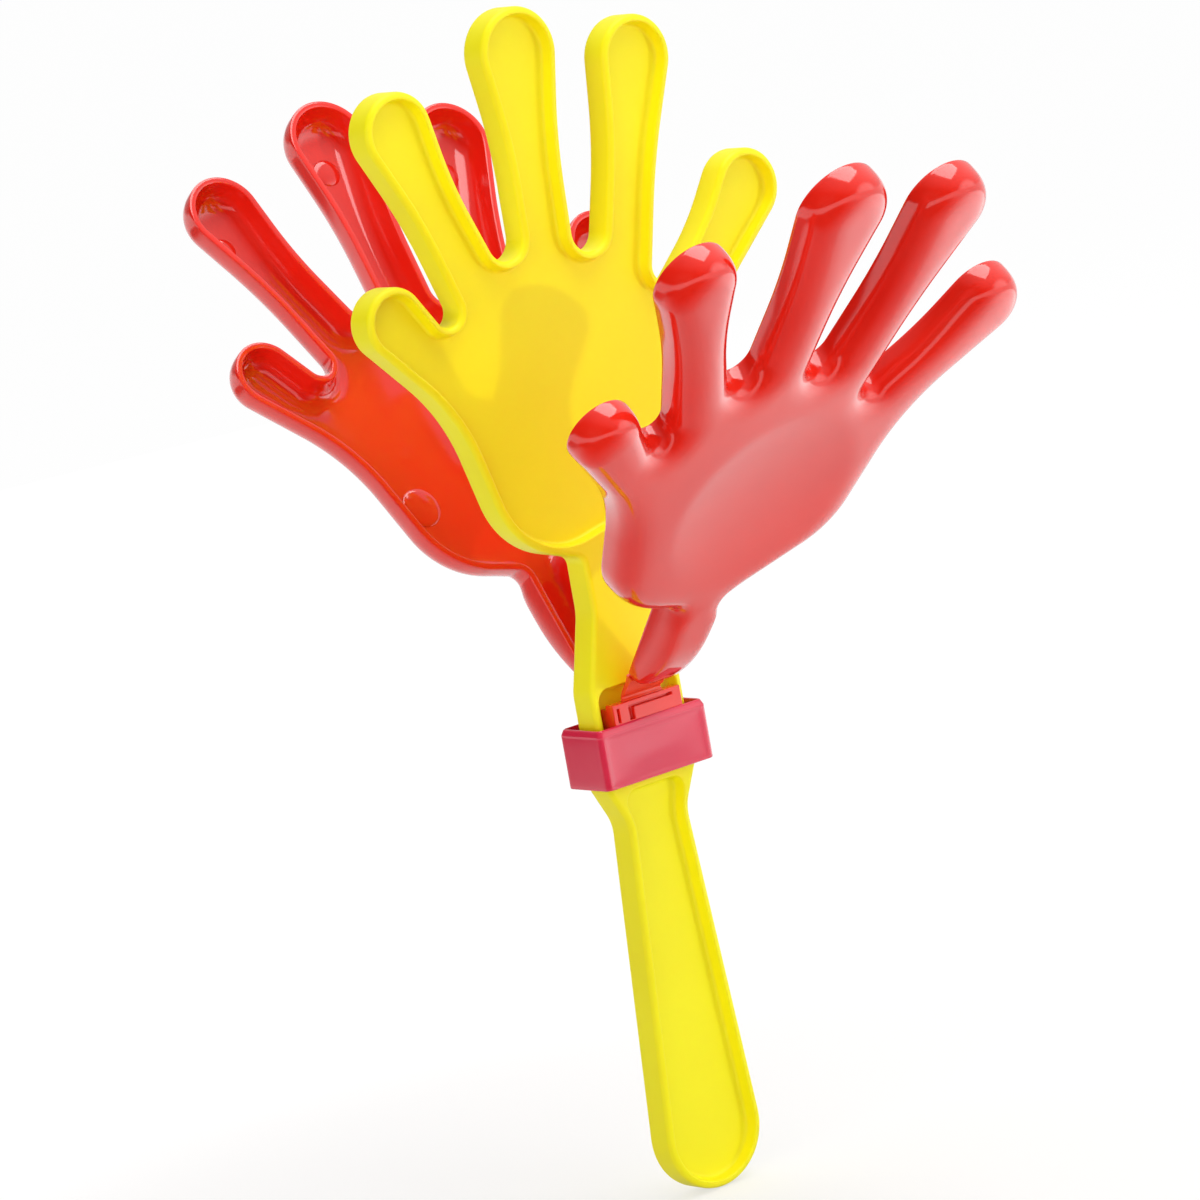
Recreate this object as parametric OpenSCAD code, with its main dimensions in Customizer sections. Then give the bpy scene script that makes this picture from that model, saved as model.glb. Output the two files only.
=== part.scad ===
// Hand clapper: a flat centre hand on a handle, with a hollow hand hinged on each face.
// The neck is held in a collar. The origin is the middle of the grip.
// +Z points to the fingertips, and the front hand is at -Y.

/* [Handle] */
// Length of the handle, from its round end to the underside of the collar
handle_length = 100; // [80:1:140]
// Radius of the round end of the handle
handle_end_r = 14; // [11:0.5:17]
// Half width of the handle at its waist, under the collar
waist_half = 9; // [7:0.5:11]
// How far the waist lies below the underside of the collar
waist_drop = 12; // [11:0.5:18]
// Radius of the flare between the waist and the neck
flare_r = 10; // [6:0.5:11]
// How far the handle recess stops below the collar
recess_drop = 2.2; // [1.6:0.1:6]
// Height of the middle of the grip above the round end
grip_height = 50; // [35:1:65]

/* [Centre hand] */
// Full depth of the centre hand
slab_depth = 7.8; // [6:0.2:10]
// Width of the rim round every recess
rim_w = 1.8; // [1.2:0.1:2.5]
// Thickness of the web between the two faces
web_t = 1.8; // [1.2:0.1:2.6]

/* [Neck] */
// Half width of the neck inside the collar
neck_half = 13.4; // [12:0.2:16]
// Height of the neck, from the underside of the collar to the wrist
neck_length = 52; // [44:1:66]
// Height of the wide part of the neck
neck_straight = 21; // [18:0.5:24]
// Corner radius at the foot of the neck
shoulder_r = 3.6; // [2.5:0.1:4]
// Radius where the wide part of the neck starts to draw in
neck_r = 8; // [6:0.5:9]
// Radius of the hollow side above that
taper_r = 15; // [12:0.5:17]
// How far the middle of the hollow side lies below the wrist
taper_drop = 10; // [9:0.5:12]
// Half width of the neck at the wrist
wrist_half = 8.5; // [6.5:0.1:10]
// Corner radius between the neck and the palm
wrist_r = 2.8; // [2:0.2:3]
// How far the centre of that corner lies below the wrist
wrist_drop = 0.5; // [0.3:0.1:1.5]
// Height of the pocket in the neck that takes a base plate
pocket_h = 21; // [19:0.5:25]
// How far the pocket starts above the underside of the collar
pocket_lift = 1.5; // [1:0.1:2]
// Corner radius of the pocket
pocket_r = 3; // [2:0.1:3.2]

/* [Hand outline] */
// Length of a hand, from the wrist to the tip of the middle finger
hand_length = 128; // [105:1:155]
// How far the sides of the long fingers draw in between knuckle and tip
finger_waist = 1.2; // [0.3:0.1:1.5]

/* [Side hands] */
// Full depth of a side hand, from its rim to its outer face
shell_depth = 9; // [7:0.5:12]
// Radius of the rounded outer edge
edge_r = 4.5; // [3:0.25:5]
// Wall of a side hand
shell_wall = 1.6; // [1.2:0.1:2.2]
// Gap between the rims of a side hand and the centre hand when they meet
clap_gap = 0.3; // [0.2:0.05:0.8]
// Depth of the dished palm
dish_depth = 0.8; // [0.3:0.1:1]
// Radius of the dished palm
dish_r = 25.5; // [18:0.5:30]
// Depth of the round marks that the mould leaves on the inner face
mark_depth = 0.2; // [0.1:0.05:0.3]
// Angle that the front hand stands open
front_open = 41.5; // [10:0.5:80]
// Angle that the back hand stands open
back_open = 28; // [10:0.5:80]

/* [Side neck] */
// Half width of the side neck at its end
side_neck_half = 6.1; // [5.2:0.1:7.4]
// Half width of the side neck where it meets the palm
side_wrist_half = 7.2; // [6:0.1:8]
// Corner radius at the end of the side neck
side_neck_r = 3; // [2:0.1:3.6]
// Depth of the side neck at its end
neck_end_depth = 4; // [3.2:0.2:6]
// Length over which the side neck reaches its full depth
neck_round = 18; // [14:0.5:22]
// Radius of the outer edge along the side neck
neck_edge_r = 2; // [1.9:0.1:3]
// Height over which that edge grows into the edge of the palm
heel_blend = 8; // [5:0.5:12]

/* [Hinge] */
// Half width of the thin tongue
tongue_half = 5.9; // [4.8:0.1:6]
// Length of the tongue, from the bend line to the side neck
tongue_length = 5.4; // [4.5:0.1:8]
// How far the tongue is rooted in the side neck
tongue_root = 2; // [1:0.1:3]
// How far the tongue lies behind the rim
tongue_set = 0.15; // [0.1:0.05:0.4]
// Thickness of the tongue
tongue_t = 1.2; // [0.8:0.1:1.6]
// How far the tongue starts above the bend line
tongue_start = 0.35; // [0.25:0.05:0.45]
// Height of the bend line above the base plate
hinge_rise = 1; // [0.9:0.05:1.5]
// Radius of the thin web at the bend line
bead_r = 0.55; // [0.45:0.05:0.7]
// Running clearance round the web
bead_fit = 0.05; // [0.02:0.01:0.1]
// Thickness of the root that carries the web on the base plate
root_t = 0.5; // [0.4:0.05:0.7]

/* [Base plates] */
// Half width of a base plate
plate_half = 10.2; // [9:0.2:11]
// Thickness of a base plate
plate_t = 2.7; // [2:0.1:4]
// How far a base plate shows above the collar
plate_show = 4.6; // [4.5:0.1:7]
// How far a base plate starts above the underside of the collar
plate_lift = 1; // [0.5:0.1:2]
// How far the key on the back of a base plate lies inside its sides
key_margin = 0.6; // [0.4:0.1:2]
// How far the key ends below the top of its base plate
key_drop = 1.2; // [0.8:0.1:3]
// Gap between the foot of the key and the foot of the pocket
key_gap = 0.4; // [0.3:0.1:1]
// Radius of the peg on the web that a base plate locks on
peg_r = 2.2; // [1.5:0.1:3]
// How far the peg stops below the face of the neck
peg_drop = 0.4; // [0.2:0.1:1]
// Depth of the peg bore in the plate, from the face of the neck
peg_seat = 0.6; // [0.3:0.1:1]
// Clearance of the key and of the peg bore
plate_fit = 0.1; // [0.05:0.05:0.3]

/* [Latch] */
// Width of the slits round the latch
slit_w = 0.6; // [0.4:0.1:0.8]
// Depth of the slits
slit_depth = 1.2; // [0.6:0.1:1.6]
// How far the slit over the latch lies below the top of the plate
slit_drop = 1; // [0.8:0.1:1.4]
// Left end of the latch
latch_left = -5.5; // [-6.5:0.1:-4.5]
// Right end of the latch
latch_right = 7.6; // [6:0.1:8.5]
// Width of the square slit at the left of the latch
notch_w = 1.5; // [1:0.1:2]
// Height of that slit
notch_h = 3.4; // [2:0.1:3.5]
// Gap between the left edge of the plate and its upright slit
ear_w = 1.2; // [0.8:0.1:2]

/* [Collar] */
// Height of the collar
collar_h = 14.2; // [12:0.2:20]
// Wall at the front and back of the collar
collar_wall = 0.95; // [0.8:0.05:2]
// Wall at the two ends of the collar
collar_end_wall = 1.2; // [1:0.1:2.5]
// Gap between the ends of the collar and the widest part that passes through
collar_end_gap = 1; // [0.3:0.1:1.5]
// Gap between the collar and the base plates
collar_fit = 0.05; // [0.02:0.01:0.15]
// Bevel along the top edge of the collar
top_bevel = 0.8; // [0.3:0.1:0.9]
// Bevel along the upright corners of the collar
corner_bevel = 1; // [0.3:0.1:1.1]

/* [Hidden] */
$fn = 48;

yellow = [0.976, 0.902, 0.125];
red = [0.882, 0.106, 0.071];
orange_red = [0.933, 0.275, 0.118];
pink_red = [0.851, 0.220, 0.310];

// Levels along the length, from the round end of the handle
half = slab_depth / 2;
web_half = web_t / 2;
collar_top = handle_length + collar_h;
wrist_z = handle_length + neck_length;
plate_top = collar_top + plate_show;
hinge_z = plate_top + hinge_rise;
neck_end_z = hinge_z + tongue_length;

// Levels across the depth, from the middle of the web
rim_y = half + clap_gap;
tongue_y = rim_y + tongue_set;
hinge_y = tongue_y + tongue_t / 2;
plate_out = half + plate_t;

// The hand was drawn 128 long from the wrist; k takes that drawing to hand_length
k = hand_length / 128;

// A circle of an outline holds x, z, radius, steps on its arc and steps on the straight that follows.
// The radius is positive on a convex stretch and negative on a concave one.
function drawn(x, z, r, n) = [x * k, wrist_z + z * k, r * k, n, 1];

heel_right = drawn(18, 29, 20, 8);
side_right = drawn(78.5, 28, -39, 8);
little = drawn(58.4, 74.5, 9.2, 12);
fork_little = drawn(30.2, 61.8, -3.8, 8);
ring = drawn(32, 110.2, 10, 12);
fork_ring = drawn(9.9, 74.3, -5, 8);
middle = drawn(-1.2, 117.3, 10.7, 12);
fork_middle = drawn(-14.2, 77, -5, 8);
index = drawn(-38.2, 106, 9.4, 12);
fork_index = drawn(-33.8, 64.2, -3.4, 8);
thumb = drawn(-48.2, 64.8, 8.2, 12);
side_left = drawn(-76.5, 17.5, -45, 8);
heel_left = drawn(-9.9, 24, 20.9, 8);
palm_mid = [5 * k, wrist_z + 34 * k];

// Direction of the inward normal on the common tangent from circle a to circle b
function limited(v) = max(-1, min(1, v));
function lean(a, b) =
    let (d = [b.x - a.x, b.y - a.y])
    atan2(d.y, d.x) + acos(limited((b.z - a.z) / norm(d)));

// Turn on an arc: to the left on a convex circle, to the right on a concave one
function sweep(r, from, to) =
    let (s = sign(r), t = (s * (to - from) + 60) % 360)
    s * ((t < 0 ? t + 360 : t) - 60);

// A wide concave circle that draws the side of a finger in by w
function waist(a, b, w) =
    let (
        v = lean(a, b),
        n = [cos(v), sin(v)],
        p = [a.x, a.y] - a.z * n,
        q = [b.x, b.y] - b.z * n,
        r = pow(norm(q - p), 2) / (11 * w),
        c = (p + q) / 2 - (r - w) * n
    )
    [c.x, c.y, -r, 3, 1];

hand_circles = [
    heel_right,
    side_right,
    little,
    waist(little, fork_little, finger_waist),
    fork_little,
    waist(fork_little, ring, finger_waist),
    ring,
    waist(ring, fork_ring, finger_waist),
    fork_ring,
    waist(fork_ring, middle, finger_waist),
    middle,
    waist(middle, fork_middle, finger_waist),
    fork_middle,
    waist(fork_middle, index, finger_waist),
    index,
    waist(index, fork_index, finger_waist),
    fork_index,
    thumb,
    side_left,
    heel_left
];

// Outline points round a belt of circles: x, z and the inward normal at each
function belt(c) =
    let (
        n = len(c),
        v = [for (i = [0:n - 1]) lean(c[i], c[(i + 1) % n])]
    )
    [
        for (i = [0:n - 1])
            let (
                from = v[(i + n - 1) % n],
                turn = sweep(c[i].z, from, v[i]),
                next = c[(i + 1) % n],
                d = [cos(v[i]), sin(v[i])],
                p = [c[i].x, c[i].y] - c[i].z * d,
                q = [next.x, next.y] - next.z * d
            )
            each concat(
                [for (s = [0:c[i][3]])
                    let (a = from + turn * s / c[i][3])
                    [c[i].x - c[i].z * cos(a), c[i].y - c[i].z * sin(a), cos(a), sin(a)]],
                [for (s = [1:1:c[i][4] - 1])
                    let (e = p + (q - p) * s / c[i][4])
                    [e.x, e.y, d.x, d.y]]
            )
    ];

// First outline point of circle i, and the point in the middle of its arc
function first(c, i) = i == 0 ? 0 : first(c, i - 1) + c[i - 1][3] + c[i - 1][4];
function mid(c, i) = first(c, i) + c[i][3] / 2;

function inset(o, d) = [for (p = o) [p.x + d * p[2], p.y + d * p[3]]];
function mirrored(c) = [for (i = [len(c) - 1:-1:0]) [-c[i].x, c[i].y, c[i].z, c[i][3], c[i][4]]];

// Outline of the centre hand: handle, neck and hand
handle_end = [0, handle_end_r, handle_end_r, 24, 1];
neck_right = [
    [waist_half + flare_r, handle_length - waist_drop, -flare_r, 8, 1],
    [neck_half - shoulder_r, handle_length, shoulder_r, 6, 1],
    [neck_half - neck_r, handle_length + neck_straight, neck_r, 6, 1],
    [wrist_half + taper_r, wrist_z - taper_drop, -taper_r, 8, 1],
    [wrist_half + wrist_r, wrist_z - wrist_drop, -wrist_r, 6, 1]
];
centre_outline = belt(concat([handle_end], neck_right, hand_circles, mirrored(neck_right)));
palm_outline = belt(hand_circles);
handle_outline = belt([
    handle_end,
    neck_right[0],
    neck_right[1],
    mirrored(neck_right)[3],
    mirrored(neck_right)[4]
]);

// Outline of a side hand, which starts at the end of its own neck
side_end = [side_neck_half - side_neck_r, neck_end_z + side_neck_r, side_neck_r, 4];
side_wrist = [side_wrist_half + wrist_r, wrist_z - wrist_drop, -wrist_r, 6];
side_circles = concat(
    [concat(side_end, [8]), concat(side_wrist, [1])],
    hand_circles,
    mirrored([concat(side_end, [1]), concat(side_wrist, [8])])
);
side_outline = belt(side_circles);
side_count = len(side_outline);

// The side neck deepens in a round sweep from its end, and its edge softens towards the palm
function share(v) = max(0, min(1, v));
function sweep_up(u) = u * (2 - u);
function ease(u) = u * u * (3 - 2 * u);
function depth_at(z) =
    neck_end_depth + (shell_depth - neck_end_depth) * sweep_up(share((z - neck_end_z) / neck_round));
function edge_at(z) =
    neck_edge_r + (edge_r - neck_edge_r) * ease(share((z - wrist_z) / heel_blend + 0.5));

// Section of a side hand from the outer face over the rim to the inner face.
// Each step holds 1 on a wall or 0 on the rim, the wall thickness passed and the angle on the edge.
section = concat(
    [for (a = [0:18:90]) [1, 0, a]],
    [[0, 0, 90], [0, shell_wall, 90]],
    [for (a = [90:-30:0]) [1, shell_wall, a]]
);

// Triangles of a strip between two rows of outline points
function strip(r, l) =
    let (m = len(r) - 1, n = len(l) - 1, steps = max(m, n))
    [
        for (s = [0:steps - 1])
            let (
                a = floor(s * m / steps),
                b = floor((s + 1) * m / steps),
                c = floor(s * n / steps),
                d = floor((s + 1) * n / steps)
            )
            each concat(
                b > a && r[b] != l[c] ? [[r[a], r[b], l[c]]] : [],
                d > c && r[b] != l[d] ? [[l[c], r[b], l[d]]] : []
            )
    ];

function up(a, b) = [for (i = [a:1:b]) i];
function down(a, b) = [for (i = [a:-1:b]) i];

// Triangles over the flat face of a side hand: a strip for each finger and the neck, a fan over the palm
function finger(c, fork_a, tip, fork_b) =
    strip(up(mid(c, fork_a), mid(c, tip)), down(mid(c, fork_b), mid(c, tip)));
function face_triangles(c, count, hub) =
    let (
        last = len(c) - 1,
        edge = concat(
            up(mid(c, 1), mid(c, 3)),
            [mid(c, 6), mid(c, 10), mid(c, 14), mid(c, 18)],
            up(mid(c, 20), mid(c, last - 1))
        )
    )
    concat(
        finger(c, 3, 4, 6),
        finger(c, 6, 8, 10),
        finger(c, 10, 12, 14),
        finger(c, 14, 16, 18),
        finger(c, 18, 19, 20),
        strip(up(mid(c, last - 1), count - 1), down(mid(c, 1), 0)),
        [for (i = [0:len(edge) - 1]) [hub, edge[i], edge[(i + 1) % len(edge)]]]
    );

function section_ring(s) = [
    for (p = side_outline)
        let (
            r = edge_at(p.y) - s[1],
            d = s[1] + r * (1 - sin(s[2])),
            depth = depth_at(p.y) - s[1] - r * (1 - cos(s[2]))
        )
        [p.x + d * p[2], -rim_y - s[0] * depth, p.y + d * p[3]]
];

module shell() {
    rings = len(section);
    hub = rings * side_count;
    faces = face_triangles(side_circles, side_count, -1);
    polyhedron(
        points = concat(
            [for (s = section) each section_ring(s)],
            [[palm_mid.x, -rim_y - shell_depth, palm_mid.y]],
            [[palm_mid.x, -rim_y - shell_depth + shell_wall, palm_mid.y]]
        ),
        faces = concat(
            [for (f = faces) [for (i = [2, 1, 0]) f[i] < 0 ? hub : f[i]]],
            [for (r = [0:rings - 2], j = [0:side_count - 1])
                let (a = r * side_count, b = a + side_count, n = (j + 1) % side_count)
                each [[a + j, a + n, b + n], [a + j, b + n, b + j]]],
            [for (f = faces) [for (i = f) i < 0 ? hub + 1 : i + (rings - 1) * side_count]]
        ),
        convexity = 10
    );
}

// Prism of a list of x, z points between two depths
module slab(points, y0, y1) {
    translate([0, y1, 0])
        rotate([90, 0, 0])
            linear_extrude(height = y1 - y0)
                polygon(points);
}

// Round bar along Y
module bar_y(x, z, r, y0, y1) {
    translate([x, y1, z])
        rotate([90, 0, 0])
            cylinder(r = r, h = y1 - y0);
}

// Round bar along X, centred
module bar_x(y, z, r, length) {
    translate([0, y, z])
        rotate([0, 90, 0])
            cylinder(r = r, h = length, center = true);
}

// Block from one corner to the other
module block(a, b) {
    translate(a)
        cube(b - a);
}

module on_grip() {
    translate([0, 0, -grip_height])
        children();
}

module both_faces() {
    children();
    mirror([0, 1, 0])
        children();
}

pocket_half = neck_half - rim_w;
pocket_z0 = handle_length + pocket_lift;
pocket_z1 = pocket_z0 + pocket_h;
pocket_side = [
    [pocket_half - pocket_r, pocket_z0 + pocket_r, pocket_r, 6, 1],
    [pocket_half - pocket_r, pocket_z1 - pocket_r, pocket_r, 6, 1]
];
pocket_outline = belt(concat(pocket_side, mirrored(pocket_side)));
peg_z = handle_length + collar_h / 2;
key_depth = half - web_half - plate_fit;

module centre_hand() {
    color(yellow) on_grip() {
        difference() {
            slab(inset(centre_outline, 0), -half, half);
            both_faces() {
                slab(inset(palm_outline, rim_w), -half - 1, -web_half);
                slab(inset(pocket_outline, 0), -half - 1, -web_half);
                intersection() {
                    slab(inset(handle_outline, rim_w), -half - 1, -web_half);
                    block([-neck_half, -slab_depth, 0], [neck_half, 0, handle_length - recess_drop]);
                }
            }
        }
        bar_y(0, peg_z, peg_r, peg_drop - half, half - peg_drop);
    }
}

// Ball that dishes the palm, and the round marks on the inner face
dish_ball = (dish_r * dish_r + dish_depth * dish_depth) / (2 * dish_depth);
floor_y = rim_y + shell_depth - shell_wall;
moulding_marks = [
    drawn(-38.5, 99.6, 3, 0),
    drawn(-1.1, 112.3, 3.5, 0),
    drawn(31, 104, 3.5, 0),
    drawn(54, 71.5, 3, 0),
    drawn(-21, 25.5, 5, 0)
];

// A side hand as it lies against the front of the centre hand
module closed_hand() {
    difference() {
        union() {
            shell();
            block([-tongue_half, -tongue_y - tongue_t, hinge_z + tongue_start],
                  [tongue_half, -tongue_y, neck_end_z + tongue_root]);
        }
        bar_x(-hinge_y, hinge_z, bead_r + bead_fit, 4 * tongue_half);
        translate([palm_mid.x, -rim_y - shell_depth - dish_ball + dish_depth, palm_mid.y])
            sphere(r = dish_ball, $fn = 200);
        for (m = moulding_marks)
            bar_y(m.x, m.y, m.z, -floor_y - mark_depth, -floor_y + 1);
    }
}

// Swings the front hand open about the bend line
module swung(angle) {
    translate([0, -hinge_y, hinge_z])
        rotate([angle, 0, 0])
            translate([0, hinge_y, -hinge_z])
                children();
}

module hinge_web() {
    bar_x(-hinge_y, hinge_z, bead_r, 2 * tongue_half);
    block([-tongue_half, -hinge_y - root_t / 2, plate_top], [tongue_half, -hinge_y + root_t / 2, hinge_z]);
}

// Slit in the outer face of a base plate, from one x, z corner to the other
module slit(a, b) {
    block([a.x, -plate_out - 1, a.y], [b.x, slit_depth - plate_out, b.y]);
}

module base_plate() {
    key_x = plate_half - key_margin;
    slit_top = plate_top - slit_drop;
    notch_foot = slit_top - notch_h;
    ear_x = ear_w - plate_half;
    difference() {
        union() {
            block([-plate_half, -plate_out, handle_length + plate_lift], [plate_half, -half, plate_top]);
            block([-key_x, -half - plate_t / 2, pocket_z0 + key_gap],
                  [key_x, key_depth - half, plate_top - key_drop]);
        }
        bar_y(0, peg_z, peg_r + plate_fit, -half - peg_seat, 0);
        slit([latch_left, slit_top - slit_w], [latch_right, slit_top]);
        slit([latch_left, notch_foot], [latch_left + notch_w, slit_top]);
        slit([ear_x, notch_foot], [ear_x + slit_w, slit_top]);
    }
}

module collar() {
    in_x = max(neck_half, handle_end_r) + collar_end_gap;
    in_y = plate_out + collar_fit;
    x = in_x + collar_end_wall;
    y = in_y + collar_wall;
    z0 = handle_length;
    z1 = collar_top;
    c = corner_bevel;
    t = top_bevel;
    color(pink_red) on_grip()
        difference() {
            intersection() {
                translate([0, 0, z0])
                    linear_extrude(height = z1 - z0)
                        polygon([[x, c - y], [x, y - c], [x - c, y], [c - x, y],
                                 [-x, y - c], [-x, c - y], [c - x, -y], [x - c, -y]]);
                slab([[-x, z0], [x, z0], [x, z1 - t], [x - t, z1], [t - x, z1], [-x, z1 - t]], -y, y);
                translate([-x, 0, 0])
                    rotate([90, 0, 90])
                        linear_extrude(height = 2 * x)
                            polygon([[-y, z0], [y, z0], [y, z1 - t], [y - t, z1], [t - y, z1], [-y, z1 - t]]);
            }
            block([-in_x, -in_y, z0 - 1], [in_x, in_y, z1 + 1]);
        }
}

module front_hand() {
    color(red) on_grip() swung(front_open) closed_hand();
}

module front_hinge_web() {
    color(orange_red) on_grip() hinge_web();
}

module front_base_plate() {
    color(red) on_grip() base_plate();
}

module back_hand() {
    color(red) mirror([0, 1, 0]) on_grip() swung(back_open) closed_hand();
}

module back_hinge_web() {
    color(orange_red) mirror([0, 1, 0]) on_grip() hinge_web();
}

module back_base_plate() {
    color(red) mirror([0, 1, 0]) on_grip() base_plate();
}

centre_hand();
collar();
front_hand();
front_hinge_web();
front_base_plate();
back_hand();
back_hinge_web();
back_base_plate();
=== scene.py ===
"""Hand clapper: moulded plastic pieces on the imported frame, with a floor, soft light and the camera."""
import logging
import math
from dataclasses import dataclass
from enum import Enum
from functools import cached_property
from typing import Any, Callable, Sequence

import bmesh
import bpy
import numpy as np
from bpy.types import ID, Material, Mesh, Node, NodeSocket, NodeTree, Object
from mathutils import Matrix, Vector
from mathutils.geometry import delaunay_2d_cdt


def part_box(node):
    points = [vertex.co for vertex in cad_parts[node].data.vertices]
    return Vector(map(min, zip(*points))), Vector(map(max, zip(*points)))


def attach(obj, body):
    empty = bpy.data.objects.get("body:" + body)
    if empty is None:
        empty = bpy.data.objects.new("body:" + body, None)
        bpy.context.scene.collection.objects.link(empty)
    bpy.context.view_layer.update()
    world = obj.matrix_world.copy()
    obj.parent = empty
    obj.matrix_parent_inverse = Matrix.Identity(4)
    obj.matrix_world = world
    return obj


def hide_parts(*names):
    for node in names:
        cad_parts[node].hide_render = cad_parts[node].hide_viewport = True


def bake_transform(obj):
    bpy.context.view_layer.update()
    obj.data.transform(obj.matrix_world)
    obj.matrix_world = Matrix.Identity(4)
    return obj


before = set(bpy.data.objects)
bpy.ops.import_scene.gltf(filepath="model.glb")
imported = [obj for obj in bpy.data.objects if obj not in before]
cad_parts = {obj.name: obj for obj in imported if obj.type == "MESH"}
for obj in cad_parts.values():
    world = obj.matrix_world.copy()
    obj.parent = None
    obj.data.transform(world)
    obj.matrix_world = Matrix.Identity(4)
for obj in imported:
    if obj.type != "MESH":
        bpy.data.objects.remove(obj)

Array = np.ndarray
Pair = tuple[float, float]
Triple = tuple[float, float, float]

LOG = logging.getLogger("hand_clapper")
MM = 0.001
SMOOTH_ANGLE = math.radians(38)
WHITE = "#FFFFFF"

# Levels along the length in millimetres, measured from the round end of the handle
GRIP_HEIGHT = 50.0
HANDLE_LENGTH = 100.0
WRIST = 152.0

# How an outline is stepped: longest steps on arcs and straight runs in millimetres, largest turn in radians
ARC_STEP = 0.9
RUN_STEP = 2.25
TURN_STEP = 0.09

# The belt may turn back by this much on a circle before that counts as nearly a full turn
TURN_BACK = math.pi / 3

# A side squared over this many draws is the radius of its hollow, and 8 would span the whole side
WAIST_SPAN = 11.0

# How many spots are tested at a time
CHUNK = 800

# Points closer than this are one point
SAME_POINT = 1e-7

# Kind of fill: triangles inside the rings only
INSIDE_ONLY = 1


class Side(Enum):
    """The two side hands: which way each faces and how far it stands open, in degrees."""

    FRONT = ("front", -1.0, 41.5)
    BACK = ("back", 1.0, 28.0)

    def __init__(self, word: str, sign: float, opening: float) -> None:
        """Keeps the word used in names, the sign of Y and the opening angle.

        Args:
            word: Word used in names.
            sign: Sign of Y on its side.
            opening: Opening angle at rest, in degrees.
        """
        self.word = word
        self.sign = sign
        self.opening = opening


@dataclass(frozen=True)
class Arc:
    """One circle of an outline, in millimetres. A negative radius is a hollow stretch."""

    x: float
    z: float
    r: float

    def mirrored(self) -> "Arc":
        """The same circle on the other side of the middle line."""
        return Arc(-self.x, self.z, self.r)

    def point(self, angle: float) -> Array:
        """The point of the circle whose inward normal has an angle."""
        return np.array([self.x - self.r * math.cos(angle), self.z - self.r * math.sin(angle)])


def tangent_angle(a: Arc, b: Arc) -> float:
    """Direction of the inward normal on the tangent from one circle to the next.

    Args:
        a: Circle that the tangent leaves.
        b: Circle that it reaches.

    Returns:
        The angle in radians.
    """
    dx, dz = b.x - a.x, b.z - a.z
    share = (b.r - a.r) / math.hypot(dx, dz)
    return math.atan2(dz, dx) + math.acos(max(-1.0, min(1.0, share)))


def waist(a: Arc, b: Arc, draw: float) -> Arc:
    """A wide hollow circle that draws the side of a finger in.

    Args:
        a: Circle before the side.
        b: Circle after the side.
        draw: How far the side is drawn in, in millimetres.

    Returns:
        The hollow circle.
    """
    angle = tangent_angle(a, b)
    p, q = a.point(angle), b.point(angle)
    radius = float(np.dot(q - p, q - p)) / (WAIST_SPAN * draw)
    centre = (p + q) / 2 - (radius - draw) * np.array([math.cos(angle), math.sin(angle)])
    return Arc(float(centre[0]), float(centre[1]), -radius)


def within(spots: Array, ring: Array) -> Array:
    """Tells which flat spots lie inside a closed ring.

    Args:
        spots: Flat points to test.
        ring: Points of the ring in order.

    Returns:
        True for each spot inside.
    """
    a, b = ring, np.roll(ring, -1, axis=0)
    x, z = spots[:, None, 0], spots[:, None, 1]
    across = (a[:, 1] > z) != (b[:, 1] > z)
    rise = np.where(a[:, 1] == b[:, 1], 1.0, b[:, 1] - a[:, 1])
    hits = across & (x < a[:, 0] + (z - a[:, 1]) / rise * (b[:, 0] - a[:, 0]))
    return hits.sum(1) % 2 == 1


class Outline:
    """A closed smooth outline that runs round a belt of circles."""

    def __init__(self, arcs: Sequence[Arc]) -> None:
        """Traces the belt.

        Args:
            arcs: The circles, anticlockwise.
        """
        points: list[Array] = []
        angles: list[float] = []
        follow = [*arcs[1:], arcs[0]]
        lean = [tangent_angle(arc, after) for arc, after in zip(arcs, follow)]
        for i, (arc, after) in enumerate(zip(arcs, follow)):
            sense = math.copysign(1.0, arc.r)
            turn = sense * ((sense * (lean[i] - lean[i - 1]) + TURN_BACK) % math.tau - TURN_BACK)
            steps = max(2, math.ceil(abs(turn * arc.r) / ARC_STEP), math.ceil(abs(turn) / TURN_STEP))
            swept = [lean[i - 1] + turn * s / steps for s in range(steps + 1)]
            p, q = arc.point(lean[i]), after.point(lean[i])
            runs = math.ceil(float(np.linalg.norm(q - p)) / RUN_STEP)
            straight = [p + (q - p) * s / runs for s in range(1, runs)]
            points += [arc.point(a) for a in swept] + straight
            angles += swept + [lean[i]] * len(straight)
        self.points = np.array(points)
        self.normals = np.stack([np.cos(angles), np.sin(angles)], axis=1)

    def inset(self, distance: float | Array) -> Array:
        """The outline moved inwards by one distance, or by one for each point."""
        return self.points + np.reshape(distance, (-1, 1)) * self.normals

    def distance(self, spots: Array) -> Array:
        """Distance from each spot to the outline, below zero outside it.

        Args:
            spots: Points in x and z.

        Returns:
            One signed distance for each spot.
        """
        a, b = self.points, np.roll(self.points, -1, axis=0)
        along = b - a
        length = np.maximum((along**2).sum(1), SAME_POINT**2)
        result = np.empty(len(spots))
        for start in range(0, len(spots), CHUNK):
            part = spots[start : start + CHUNK]
            out = part[:, None, :] - a
            t = np.clip((out * along).sum(2) / length, 0, 1)
            gap = np.linalg.norm(out - t[..., None] * along, axis=2).min(1)
            result[start : start + CHUNK] = np.where(within(part, a), gap, -gap)
        return result


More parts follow.
